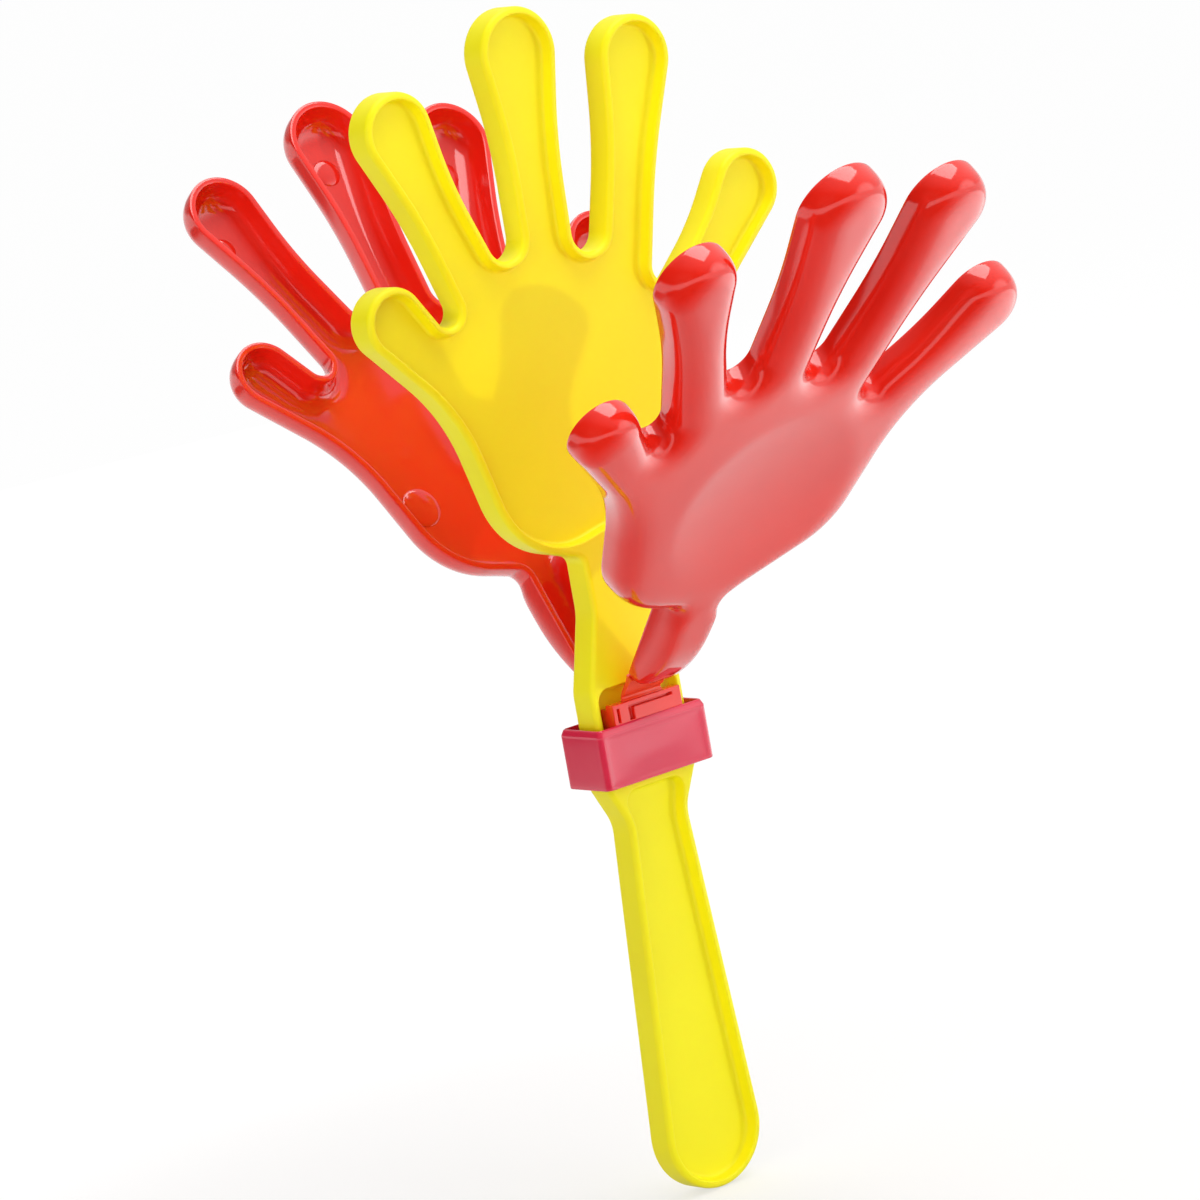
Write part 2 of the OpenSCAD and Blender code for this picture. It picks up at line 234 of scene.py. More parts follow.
@dataclass
class HandDrawing:
    """The drawn outline that all three hands share, in millimetres over the wrist."""

    finger_waist: float = 1.2
    heel_right: Arc = Arc(18, 29, 20)
    side_right: Arc = Arc(78.5, 28, -39)
    little: Arc = Arc(58.4, 74.5, 9.2)
    fork_little: Arc = Arc(30.2, 61.8, -3.8)
    ring: Arc = Arc(32, 110.2, 10)
    fork_ring: Arc = Arc(9.9, 74.3, -5)
    middle: Arc = Arc(-1.2, 117.3, 10.7)
    fork_middle: Arc = Arc(-14.2, 77, -5)
    index: Arc = Arc(-38.2, 106, 9.4)
    fork_index: Arc = Arc(-33.8, 64.2, -3.4)
    thumb: Arc = Arc(-48.2, 64.8, 8.2)
    side_left: Arc = Arc(-76.5, 17.5, -45)
    heel_left: Arc = Arc(-9.9, 24, 20.9)

    def arcs(self) -> list[Arc]:
        """Puts the circles of a hand at their place over the wrist.

        Returns:
            The circles, anticlockwise from the right heel.
        """
        chain = [
            self.little, self.fork_little, self.ring, self.fork_ring, self.middle,
            self.fork_middle, self.index, self.fork_index,
        ]
        found = [self.heel_right, self.side_right]
        for a, b in zip(chain, chain[1:]):
            found += [a, waist(a, b, self.finger_waist)]
        found += [self.fork_index, self.thumb, self.side_left, self.heel_left]
        return [Arc(c.x, c.z + WRIST, c.r) for c in found]


class MeshDraft:
    """Vertices and faces of a piece while it is being made, in millimetres."""

    def __init__(self) -> None:
        """Starts empty."""
        self.verts: list[Array] = []
        self.faces: list[tuple[int, ...]] = []
        self.count = 0

    def add(self, points: Array) -> Array:
        """Adds points.

        Args:
            points: Points in X, Y and Z.

        Returns:
            Their numbers.
        """
        self.verts.append(np.asarray(points, float))
        numbers = np.arange(self.count, self.count + len(points))
        self.count += len(points)
        return numbers

    def bridge(self, a: Array, b: Array) -> None:
        """Joins two closed rings of as many points with quads.

        Args:
            a: Point numbers of one ring.
            b: Point numbers of the other.
        """
        for i in range(len(a)):
            j = (i + 1) % len(a)
            self.faces.append((int(a[i]), int(a[j]), int(b[j]), int(b[i])))

    def loft(self, rings: Sequence[Array]) -> list[Array]:
        """Adds rings and joins each to the next.

        Args:
            rings: Closed rings of as many points each.

        Returns:
            The point numbers of each ring.
        """
        numbers = [self.add(r) for r in rings]
        for a, b in zip(numbers, numbers[1:]):
            self.bridge(a, b)
        return numbers

    def fill(
        self,
        rings: Sequence[Array],
        flat: Sequence[Array],
        inner: Array | None = None,
        solid: Array | None = None,
    ) -> None:
        """Fills the region between rings with triangles.

        Args:
            rings: Point numbers of the outer ring and of any holes.
            flat: The same rings as flat points.
            inner: Flat points inside the region, if any.
            solid: The place of each inner point.
        """
        numbers = np.concatenate([*rings] if solid is None else [*rings, self.add(solid)])
        points = np.concatenate([*flat] if inner is None else [*flat, inner])
        edges: list[tuple[int, int]] = []
        start = 0
        for ring in flat:
            size = len(ring)
            edges += [(start + i, start + (i + 1) % size) for i in range(size)]
            start += size
        spots = [Vector(p) for p in points]
        _, _, triangles, source, _, _ = delaunay_2d_cdt(spots, edges, [], INSIDE_ONLY, SAME_POINT)
        corners = np.array([s[0] for s in source])[np.array(triangles)]
        middle = points[corners].mean(1)
        keep = within(middle, flat[0])
        for hole in flat[1:]:
            keep &= ~within(middle, hole)
        self.faces += [tuple(int(n) for n in numbers[c]) for c in corners[keep]]

    def to_object(self, name: str, place: Callable[[Array], Array]) -> Object:
        """Makes the finished object, smooth-shaded, with its place in its mesh.

        Args:
            name: Name of the piece.
            place: Turns draft points in millimetres into points of the frame in metres.

        Returns:
            The new object, linked to the scene.
        """
        mesh = bpy.data.meshes.new(name)
        mesh.from_pydata(place(np.concatenate(self.verts)).tolist(), [], self.faces)
        clean(mesh)
        return linked(name, mesh)


def linked(name: str, data: ID) -> Object:
    """Makes an object and links it to the scene.

    Args:
        name: Name of the object.
        data: Its mesh, lamp or camera.

    Returns:
        The new object.
    """
    obj = bpy.data.objects.new(name, data)
    bpy.context.scene.collection.objects.link(obj)
    return obj


def clean(mesh: Mesh) -> None:
    """Merges doubles, points faces outwards and shades the mesh smooth up to an angle.

    Args:
        mesh: Mesh to clean.
    """
    bm = bmesh.new()
    bm.from_mesh(mesh)
    bmesh.ops.remove_doubles(bm, verts=bm.verts, dist=SAME_POINT)
    bmesh.ops.recalc_face_normals(bm, faces=bm.faces)
    bm.to_mesh(mesh)
    bm.free()
    mesh.shade_smooth()
    mesh.set_sharp_from_angle(angle=SMOOTH_ANGLE)


def weighted(obj: Object) -> None:
    """Lets wide flat faces rule the shading of the narrow rounds beside them."""
    modifier = obj.modifiers.new("weighted_normals", "WEIGHTED_NORMAL")
    modifier.keep_sharp = True


def to_frame(points: Array) -> Array:
    """Turns millimetres from the end of the handle into metres of the frame."""
    return (points - np.array([0, 0, GRIP_HEIGHT])) * MM


def at_depth(points: Array, y: float | Array) -> Array:
    """Puts flat points in x and z at a depth."""
    return np.stack([points[:, 0], np.broadcast_to(y, len(points)), points[:, 1]], axis=1)


def at_level(points: Array, z: float) -> Array:
    """Puts flat points in x and y at a level."""
    return np.column_stack([points, np.full(len(points), z)])


# Finishes

def linear(code: str) -> tuple[float, ...]:
    """Turns an sRGB hex colour into linear light.

    Args:
        code: Six hex digits after a hash.

    Returns:
        Linear red, green, blue and alpha 1.
    """
    parts = [int(code[i : i + 2], 16) / 255 for i in (1, 3, 5)]
    bright = [p / 12.92 if p <= 0.04045 else ((p + 0.055) / 1.055) ** 2.4 for p in parts]
    return (bright[0], bright[1], bright[2], 1.0)


def add(tree: NodeTree, kind: str, inputs: dict[Any, Any] | None = None, **settings: Any) -> Node:
    """Adds a node with its settings, values and links.

    Args:
        tree: Tree that takes the node.
        kind: Node type.
        inputs: Input name or number to a value, or to a socket or a node's first output to link from.
        **settings: Properties of the node.

    Returns:
        The new node.
    """
    node = tree.nodes.new(kind)
    for key, value in settings.items():
        setattr(node, key, value)
    for key, value in (inputs or {}).items():
        if isinstance(value, Node):
            tree.links.new(value.outputs[0], node.inputs[key])
        elif isinstance(value, NodeSocket):
            tree.links.new(value, node.inputs[key])
        else:
            node.inputs[key].default_value = value
    return node


def blank_material(name: str) -> Material:
    """Makes a node material with an empty tree.

    Args:
        name: Name of the material.

    Returns:
        The new material.
    """
    material = bpy.data.materials.new(name)
    material.use_nodes = True
    material.node_tree.nodes.clear()
    return material


@dataclass(frozen=True)
class MouldedPlastic:
    """Injection-moulded plastic: one colour all through, with faint waves, drift and a fine skin."""

    name: str
    colour: str
    shade: str
    roughness: float
    ior: float
    coat: float
    glow: float
    # Slow waves where the wall sank as it cooled
    wave_mm: float = 22.0
    wave_height_mm: float = 0.05
    wave_detail: float = 1.0
    # A real mould's grain of about 0.1 mm is too fine to show, so it is drawn about ten times as coarse
    skin_mm: float = 1.1
    skin_height_mm: float = 0.003
    skin_detail: float = 3.0
    rough_span: Pair = (0.85, 1.2)
    # Slow drift between the two tones of the pigment
    drift_mm: float = 34.0
    drift_detail: float = 2.0
    drift_span: Pair = (0.3, 0.62)
    # The clear outer skin is smoother than the body, and light goes a little way into it, red the furthest
    coat_share: float = 0.6
    glow_mm: float = 1.2
    glow_reach: Triple = (1.0, 0.35, 0.2)

    def build(self) -> Material:
        """Makes the material.

        Returns:
            A node material that reads Object coordinates in metres.
        """
        material = blank_material(self.name)
        tree = material.node_tree
        spot = add(tree, "ShaderNodeTexCoord").outputs["Object"]
        patterns = (
            (self.drift_mm, self.drift_detail),
            (self.wave_mm, self.wave_detail),
            (self.skin_mm, self.skin_detail),
        )
        drift, waves, skin = (
            add(tree, "ShaderNodeTexNoise", {"Vector": spot, "Scale": 1 / (size * MM), "Detail": detail})
            for size, detail in patterns
        )
        tint = add(tree, "ShaderNodeValToRGB", {"Fac": drift})
        for stop, position, code in zip(tint.color_ramp.elements, self.drift_span, (self.shade, self.colour)):
            stop.position = position
            stop.color = linear(code)
        low, high = (self.roughness * share for share in self.rough_span)
        rough = add(tree, "ShaderNodeMapRange", {"Value": skin, "To Min": low, "To Max": high})
        swell, grain = self.wave_height_mm * MM, self.skin_height_mm * MM
        bump = add(tree, "ShaderNodeBump", {"Height": waves, "Distance": swell, "Strength": 1.0})
        bump = add(
            tree, "ShaderNodeBump", {"Height": skin, "Distance": grain, "Strength": 1.0, "Normal": bump}
        )
        shader = add(
            tree, "ShaderNodeBsdfPrincipled",
            {
                "Base Color": tint, "Roughness": rough, "Normal": bump, "IOR": self.ior,
                "Coat Weight": self.coat, "Coat Roughness": self.roughness * self.coat_share,
                "Subsurface Weight": self.glow, "Subsurface Radius": self.glow_reach,
                "Subsurface Scale": self.glow_mm * MM,
            },
        )
        add(tree, "ShaderNodeOutputMaterial", {"Surface": shader})
        return material


class Finish(Enum):
    """The plastics of the clapper."""

    # Polypropylene from a fine-blasted mould: even colour and a satin sheen
    YELLOW = MouldedPlastic("satin_yellow_polypropylene", "#FBF408", "#F7EE05", 0.46, 1.44, 0.0, 0.08)
    # High-impact polystyrene from a polished mould: deep colour and sharp reflections
    RED = MouldedPlastic("gloss_red_polystyrene", "#EB2819", "#E52013", 0.10, 1.59, 0.5, 0.12)
    # The same polystyrene where it is thin and bent: lighter and duller
    FILM = MouldedPlastic("thin_red_polystyrene_film", "#F04B26", "#E8371C", 0.24, 1.59, 0.2, 0.3)
    # Polystyrene of another batch with more blue in it
    PINK = MouldedPlastic("gloss_pink_red_polystyrene", "#DC2A4C", "#D42346", 0.16, 1.59, 0.4, 0.1)

    def material(self) -> Material:
        """The material of this finish, made once."""
        return bpy.data.materials.get(self.value.name) or self.value.build()


class Slot(Enum):
    """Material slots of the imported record."""

    YELLOW = "yellow_plastic"
    RED = "red_plastic"
    FILM = "orange_red_plastic"
    PINK = "pink_red_plastic"


def dress(obj: Object, finish: Finish, body: str, nodes: Sequence[str] = ()) -> Object:
    """Gives a piece its finish, its body and the nodes that it stands for.

    Args:
        obj: The finished piece.
        finish: Its plastic.
        body: Body that it moves with.
        nodes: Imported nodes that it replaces.

    Returns:
        The same piece.
    """
    obj.data.materials.clear()
    obj.data.materials.append(finish.material())
    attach(obj, body)
    if nodes:
        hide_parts(*nodes)
    return obj


# Pieces of the clapper

@dataclass
class CentreHand:
    """The flat middle hand with its neck and handle, recessed on both faces. Sizes in millimetres."""

    drawing: HandDrawing
    half_depth: float = 3.9
    web_half: float = 0.9
    rim: float = 1.8
    edge_round: float = 1.3
    lip_round: float = 0.35
    floor_round: float = 0.9
    draft: float = 0.4
    # Angles at which the small rounds are stepped, in degrees
    lip_turns: tuple[float, ...] = (0, 30, 60, 90)
    edge_turns: tuple[float, ...] = (67.5, 45, 22.5, 0)
    end_r: float = 14.0
    waist_half: float = 9.0
    waist_drop: float = 12.0
    flare_r: float = 10.0
    neck_half: float = 13.4
    shoulder_r: float = 3.6
    neck_straight: float = 21.0
    neck_r: float = 8.0
    taper_r: float = 15.0
    taper_drop: float = 10.0
    wrist_half: float = 8.5
    wrist_r: float = 2.8
    wrist_drop: float = 0.5
    recess_drop: float = 2.2
    recess_corner: float = 2.8
    recess_ease: float = 1.03
    pocket_lift: float = 1.5
    pocket_h: float = 21.0
    pocket_r: float = 3.0

    def neck(self) -> list[Arc]:
        """Finds the circles of the right side of the neck.

        Returns:
            The circles, from the waist of the handle to the wrist.
        """
        return [
            Arc(self.waist_half + self.flare_r, HANDLE_LENGTH - self.waist_drop, -self.flare_r),
            Arc(self.neck_half - self.shoulder_r, HANDLE_LENGTH, self.shoulder_r),
            Arc(self.neck_half - self.neck_r, HANDLE_LENGTH + self.neck_straight, self.neck_r),
            Arc(self.wrist_half + self.taper_r, WRIST - self.taper_drop, -self.taper_r),
            Arc(self.wrist_half + self.wrist_r, WRIST - self.wrist_drop, -self.wrist_r),
        ]

    @cached_property
    def outline(self) -> Outline:
        """Draws the handle, the neck and the hand.

        Returns:
            The whole outline.
        """
        neck = self.neck()
        left = [a.mirrored() for a in reversed(neck)]
        return Outline([Arc(0, self.end_r, self.end_r), *neck, *self.drawing.arcs(), *left])

    def handle_recess(self) -> Outline:
        """Draws round the recess in the handle.

        Returns:
            An outline with the rim still inside it.
        """
        flare = self.neck()[0]
        corner = self.recess_corner + self.rim
        z = HANDLE_LENGTH - self.recess_drop - self.recess_corner
        reach = self.recess_ease * (self.flare_r + corner)
        x = flare.x - math.sqrt(reach**2 - (z - flare.z) ** 2)
        top = Arc(x, z, corner)
        return Outline([Arc(0, self.end_r, self.end_r), flare, top, top.mirrored(), flare.mirrored()])

    def pocket(self) -> Outline:
        """Draws round the pocket for a base plate.

        Returns:
            An outline with the rim still inside it.
        """
        half = self.neck_half - self.rim - self.pocket_r
        low = HANDLE_LENGTH + self.pocket_lift + self.pocket_r
        high = low + self.pocket_h - 2 * self.pocket_r
        r = self.pocket_r + self.rim
        return Outline([Arc(half, low, r), Arc(half, high, r), Arc(-half, high, r), Arc(-half, low, r)])

    def face(self, draft: MeshDraft, sign: float) -> Array:
        """Makes one face with its recesses.

        Args:
            draft: Draft that takes the face.
            sign: -1 for the front face, 1 for the back face.

        Returns:
            The point numbers of the face's outer ring.
        """
        flat = [self.outline.inset(self.edge_round)]
        rings = [draft.add(at_depth(flat[0], sign * self.half_depth))]
        turns = np.radians(self.lip_turns)
        early, late = 1 - np.cos(turns), 1 - np.sin(turns)
        foot = self.rim + self.draft
        insets = [*(self.rim - self.lip_round * late), *(foot + self.floor_round * early)]
        depths = [*(self.half_depth - self.lip_round * early), *(self.web_half + self.floor_round * late)]
        for recess in (Outline(self.drawing.arcs()), self.handle_recess(), self.pocket()):
            lips = [recess.inset(d) for d in insets]
            numbers = draft.loft([at_depth(p, sign * y) for p, y in zip(lips, depths)])
            flat.append(lips[0])
            rings.append(numbers[0])
            draft.fill([numbers[-1]], [lips[-1]])
        draft.fill(rings, flat)
        return rings[0]

    def build(self) -> Object:
        """Makes and dresses the centre hand.

        Returns:
            The finished piece.
        """
        draft = MeshDraft()
        front, back = self.face(draft, -1.0), self.face(draft, 1.0)
        wall = [
            (self.edge_round * (1 - math.cos(a)), self.half_depth - self.edge_round * (1 - math.sin(a)))
            for a in np.radians(self.edge_turns)
        ]
        steps = [(d, -y) for d, y in wall] + [(d, y) for d, y in reversed(wall)]
        middle = draft.loft([at_depth(self.outline.inset(d), y) for d, y in steps])
        draft.bridge(front, middle[0])
        draft.bridge(middle[-1], back)
        obj = draft.to_object("centre_hand_moulding", to_frame)
        weighted(obj)
        return dress(obj, Finish.YELLOW, "handle", ["centre_hand"])


@dataclass
class SideHand:
    """A hollow side hand with its neck. Sizes in millimetres, drawn as it lies closed."""

    side: Side
    drawing: HandDrawing
    rim_y: float = 4.2
    depth: float = 9.0
    wall: float = 1.6
    edge_w: float = 9.0
    neck_edge_w: float = 3.0
    # The rounded edge is a superellipse of this power, stepped at these angles in degrees
    power: float = 3.0
    turns: tuple[float, ...] = (2, 5, 9, 14, 19, 24, 30, 36, 42, 48, 54, 60, 66, 71, 75)
    lip: float = 0.25
    lip_soft: float = 0.3
    hinge_y: float = 4.95
    hinge_z: float = 119.8
    tongue_length: float = 5.4
    neck_half: float = 6.1
    wrist_half: float = 7.2
    neck_r: float = 3.0
    neck_end_depth: float = 4.0
    neck_round: float = 18.0
    heel_blend: float = 8.0
    wrist_r: float = 2.8
    wrist_drop: float = 0.5
    # The dish in the palm over the wrist, how soft its border is, and how much of it bulges inside
    dish: Arc = Arc(5.0, 34.0, 25.5)
    dish_depth: float = 1.8
    dish_soft: float = 0.05
    bulge: float = 0.6
    # Grid of the faces, and how many pitches it stays from the edge
    pitch: float = 1.6
    pitch_gap: float = 0.55
    # Round moulding marks over the wrist
    marks: tuple[Arc, ...] = (
        Arc(-38.5, 99.6, 3.0), Arc(-1.1, 112.3, 3.5), Arc(31.0, 104.0, 3.5), Arc(54.0, 71.5, 3.0),
        Arc(-21.0, 25.5, 5.0),
    )

    @property
    def body(self) -> str:
        """Name of the body that the hand is."""
        return f"{self.side.word}_hand"

    @cached_property
    def outline(self) -> Outline:
        """Draws the hand with its own short neck.

        Returns:
            The outline as the hand lies closed.
        """
        end = Arc(self.neck_half - self.neck_r, self.hinge_z + self.tongue_length + self.neck_r, self.neck_r)
        corner = Arc(self.wrist_half + self.wrist_r, WRIST - self.wrist_drop, -self.wrist_r)
        return Outline([end, corner, *self.drawing.arcs(), corner.mirrored(), end.mirrored()])

    def depth_at(self, z: Array) -> Array:
        """Full depth at a level: the neck deepens in a round sweep from its end."""
        u = np.clip((z - self.hinge_z - self.tongue_length) / self.neck_round, 0, 1)
        return self.neck_end_depth + (self.depth - self.neck_end_depth) * u * (2 - u)

    def width_at(self, z: Array) -> Array:
        """Width of the rounded edge at a level: narrow on the neck, wide on the palm."""
        u = np.clip((z - WRIST) / self.heel_blend + 0.5, 0, 1)
        return self.neck_edge_w + (self.edge_w - self.neck_edge_w) * u * u * (3 - 2 * u)

    def dish_at(self, spots: Array) -> Array:
        """How far the palm is dished at each spot, with a softened border."""
        away = ((spots - np.array([self.dish.x, self.dish.z + WRIST])) ** 2).sum(1) / self.dish.r**2
        return self.dish_depth * self.dish_soft * np.logaddexp(0, (1 - away) / self.dish_soft)

    def section(self, spots: Array, inner: bool) -> tuple[float, Array, Array]:
        """The wall outside a face, and the face's depth and edge width at each spot."""
        passed = self.wall if inner else 0.0
        return passed, self.depth_at(spots[:, 1]) - passed, self.width_at(spots[:, 1]) - passed

    def height(self, spots: Array, inner: bool) -> Array:
        """Height of the outer or inner face over the rim.

        Args:
            spots: Points in x and z.
            inner: True for the inner face.

        Returns:
            One height for each spot.
        """
        passed, full, wide = self.section(spots, inner)
        u = np.clip(1 - (self.outline.distance(spots) - passed) / wide, 0, 1)
        dish = self.dish_at(spots) * (self.bulge if inner else 1.0)
        return full * (1 - u**self.power) ** (1 / self.power) - dish

    def swung(self, points: Array, angle: float | Array) -> Array:
        """Turns points about the bend line and puts them on this side of the clapper.

        Args:
            points: Points in millimetres from the bend line, as on the front side.
            angle: One angle in radians, or one for each point.

        Returns:
            Points of the frame in metres.
        """
        y = points[:, 1] * np.cos(angle) - points[:, 2] * np.sin(angle) - self.hinge_y
        z = points[:, 1] * np.sin(angle) + points[:, 2] * np.cos(angle) + self.hinge_z
        return to_frame(np.stack([points[:, 0], -self.side.sign * y, z], axis=1))

    def place(self, points: Array) -> Array:
        """Swings draft points, whose Y is the height over the rim, open about the bend line."""
        hinge = np.array([0, self.hinge_y - self.rim_y, -self.hinge_z])
        return self.swung(points * np.array([1, -1, 1]) + hinge, math.radians(self.side.opening))

    def rings(self, inner: bool) -> list[tuple[Array, Array]]:
        """Finds the rings of the rounded edge.

        Args:
            inner: True for the inner face.

        Returns:
            Flat rings and their heights, from the rim to the face.
        """
        passed, full, wide = self.section(self.outline.points, inner)
        found = []
        for turn in self.turns:
            a = math.radians(turn)
            flat = self.outline.inset(passed + wide * (1 - math.cos(a) ** (2 / self.power)))
            dish = self.dish_at(flat) * (self.bulge if inner else 1.0)
            found.append((flat, full * math.sin(a) ** (2 / self.power) - dish * math.sin(a)))
        return found

    def build(self) -> Object:
        """Makes and dresses the hollow hand.

        Returns:
            The finished piece.
        """
        draft = MeshDraft()
        outer, inner = self.rings(False), self.rings(True)
        lip, soft, wall = self.lip, self.lip_soft * self.lip, self.wall
        edge = [(0.0, lip), (soft, soft), (lip, 0.0), (wall - lip, 0.0), (wall - soft, soft), (wall, lip)]
        rim = [(self.outline.inset(d), h) for d, h in edge]
        numbers = draft.loft([at_depth(p, h) for p, h in [*reversed(outer), *rim, *inner]])
        for ring, number, inside in ((outer[-1][0], numbers[0], False), (inner[-1][0], numbers[-1], True)):
            spots = self.cap_spots(inside)
            draft.fill([number], [ring], spots, at_depth(spots, self.height(spots, inside)))
        obj = draft.to_object(f"{self.body}_moulding", self.place)
        return dress(obj, Finish.RED, self.body, [self.body])

    def cap_spots(self, inner: bool) -> Array:
        """Lays a triangular grid of spots on a face, clear of its rings.

        Args:
            inner: True for the inner face.

        Returns:
            The spots in x and z.
        """
        low, high = self.outline.points.min(0), self.outline.points.max(0)
        rows = np.arange(low[1], high[1], self.pitch * math.sqrt(3) / 2)
        x, z = np.meshgrid(np.arange(low[0], high[0], self.pitch), rows)
        x = x + (np.arange(len(rows)) % 2)[:, None] * self.pitch / 2
        spots = np.stack([x.ravel(), z.ravel()], axis=1)
        passed, _, wide = self.section(spots, inner)
        last = 1 - math.cos(math.radians(self.turns[-1])) ** (2 / self.power)
        return spots[self.outline.distance(spots) > passed + wide * last + self.pitch_gap * self.pitch]

    def build_marks(self, tree: "MarkTree") -> Object:
        """Makes and dresses the round moulding marks on the inner face.

        Args:
            tree: Geometry Nodes tree that draws one at each loose point.

        Returns:
            One plain mesh with all the marks of the hand.
        """
        flat = np.array([(m.x, m.z + WRIST) for m in self.marks])
        spots = self.place(at_depth(flat, self.height(flat, True)))
        mesh = bpy.data.meshes.new(f"{self.side.word}_moulding_marks")
        mesh.from_pydata(spots.tolist(), [], [])
        radius = mesh.attributes.new(MarkTree.RADIUS, "FLOAT", "POINT")
        radius.data.foreach_set("value", [m.r * MM for m in self.marks])
        angle = math.radians(self.side.opening)
        tilt = math.atan2(-self.side.sign * math.cos(angle), -math.sin(angle))
        obj = tree.apply(linked(mesh.name, mesh), tilt)
        return dress(obj, Finish.RED, self.body)


@dataclass
class HingeStrap:
    """The strap from a base plate to a side hand, thinned to a film at the bend. Sizes in millimetres."""

    hand: SideHand
    half_width: float = 5.9
    corner: float = 0.16
    corner_steps: int = 3
    bend_low: float = -0.9
    bend_high: float = 1.3
    # Levels over the bend line, with the thickness at each
    profile: tuple[Pair, ...] = (
        (-1.6, 1.5), (-1.0, 1.3), (-0.75, 0.9), (-0.5, 0.62), (-0.25, 0.52), (0.0, 0.5), (0.25, 0.52),
        (0.5, 0.6), (0.75, 0.76), (1.0, 0.96), (1.3, 1.12), (1.7, 1.2), (3.0, 1.22), (4.4, 1.3),
        (5.4, 1.6), (6.4, 2.2),
    )

    def ring(self, level: float, thick: float) -> Array:
        """A rounded cross-section at a level over the bend line."""
        flat = rounded_box(self.half_width, thick / 2, min(self.corner, thick / 3), self.corner_steps)
        return at_level(flat, level)

    def place(self, points: Array) -> Array:
        """Bends draft points about the bend line, from upright below to the hand's opening above."""
        u = np.clip((points[:, 2] - self.bend_low) / (self.bend_high - self.bend_low), 0, 1)
        return self.hand.swung(points, math.radians(self.hand.side.opening) * u * u * (3 - 2 * u))

    def build(self) -> Object:
        """Makes the strap, bent from upright to the hand's opening, and gives it its finish.

        Returns:
            The finished piece.
        """
        draft = MeshDraft()
        numbers = draft.loft([self.ring(level, thick) for level, thick in self.profile])
        draft.faces += [tuple(int(n) for n in numbers[0]), tuple(int(n) for n in numbers[-1])]
        word = self.hand.side.word
        obj = draft.to_object(f"{word}_hinge_strap", self.place)
        obj.data.materials.append(Finish.FILM.material())
        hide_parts(f"{word}_hinge_web")
        ends = self.place(np.array([(0, 0, self.bend_low), (0, 0, self.bend_high)]))
        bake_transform(obj)
        return obj


def rounded_box(half_x: float, half_y: float, radius: float, steps: int, runs: int = 1) -> Array:
    """A rectangle with round corners.

    Args:
        half_x: Half its width.
        half_y: Half its depth.
        radius: Corner radius.
        steps: Steps on each corner.
        runs: Steps on each straight side.

    Returns:
        Its points, anticlockwise.
    """
    points: list[Array] = []
    for sx, sy, start in ((1, 1, 0), (-1, 1, 90), (-1, -1, 180), (1, -1, 270)):
        turn = np.radians(start + 90 * np.arange(steps + 1) / steps)
        middle = np.array([sx * (half_x - radius), sy * (half_y - radius)])
        points.append(middle + radius * np.stack([np.cos(turn), np.sin(turn)], axis=1))
    result: list[Array] = []
    for corner, after in zip(points, points[1:] + points[:1]):
        share = (np.arange(1, runs) / runs)[:, None]
        result += [corner, corner[-1] + (after[0] - corner[-1]) * share]
    return np.concatenate(result)


@dataclass
class Collar:
    """The sleeve that clamps the neck and both base plates. Sizes in millimetres."""

    wall: float = 0.95
    end_wall: float = 1.2
    corner: float = 1.25
    inner_corner: float = 0.4
    foot: float = 0.3
    foot_soft: float = 0.3
    mouth: float = 0.1
    # How far edges ease in, and how deep the panel's border and its hollow middle lie in the wide faces
    ease: float = 0.06
    border: float = 0.3
    hollow: float = 0.3
    # Higher powers bring the panel's border closer to the edges
    end_power: float = 16.0
    edge_power: float = 10.0
    corner_steps: int = 8
    columns: int = 40
    rows: int = 24
    # How far the top edge leans in, with the drop from the top at each
    bevel: tuple[Pair, ...] = (
        (0.0, 1.5), (0.05, 1.3), (0.16, 1.0), (0.28, 0.7), (0.4, 0.4), (0.5, 0.2), (0.64, 0.08), (0.82, 0.02),
    )

    def eased(self, points: Array, low: Array, high: Array) -> Array:
        """Sinks a hollow panel with a raised border into the wide faces, and eases the ends at their edges.

        Args:
            points: Points of an outer ring.
            low: Lowest corner of the collar.
            high: Highest corner of the collar.

        Returns:
            The moved points.
        """
        top = high[2] - self.bevel[0][1]
        level = np.clip((2 * points[:, 2] - low[2] - top) / (top - low[2]), -1, 1)
        moved = points.copy()
        for across, along in ((1, 0), (0, 1)):
            share = np.clip(points[:, along] / (high[along] - self.corner), -1, 1)
            on_face = np.abs(points[:, across]) > high[across] - self.corner
            panel = (1 - np.abs(share) ** self.end_power) * (1 - np.abs(level) ** self.edge_power)
            bowl = ((1 - share**2) * (1 - level**2)) ** 2
            depth = self.ease * (1 - panel) + across * (self.border * panel + self.hollow * bowl)
            moved[:, across] -= np.sign(points[:, across]) * depth * on_face
        return moved

    def build(self) -> Object:
        """Makes and dresses the collar.

        Returns:
            The finished piece.
        """
        low, high = (np.array(c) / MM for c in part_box("collar"))
        soft = self.foot_soft * self.foot
        steps = [(self.foot, 0.0), (soft, soft), (0.0, self.foot)]
        top = high[2] - self.bevel[0][1]
        outer = [(d, low[2] + z) for d, z in steps]
        outer += [(0.0, z) for z in np.linspace(low[2] + self.foot, top, self.rows)[1:-1]]
        outer += [(d, high[2] - z) for d, z in self.bevel]
        rings = []
        for d, z in outer:
            flat = rounded_box(high[0] - d, high[1] - d, self.corner, self.corner_steps, self.columns)
            rings.append(self.eased(at_level(flat, z), low, high))
        inner = (high[0] - self.end_wall, high[1] - self.wall, self.inner_corner)
        flat = rounded_box(*inner, self.corner_steps, self.columns)
        rings += [at_level(flat, z) for z in (high[2] - self.mouth, low[2] + self.mouth)]
        draft = MeshDraft()
        numbers = draft.loft(rings)
        draft.bridge(numbers[-1], numbers[0])
        obj = draft.to_object("collar_sleeve", lambda points: points * MM)
        return dress(obj, Finish.PINK, "handle", ["collar"])


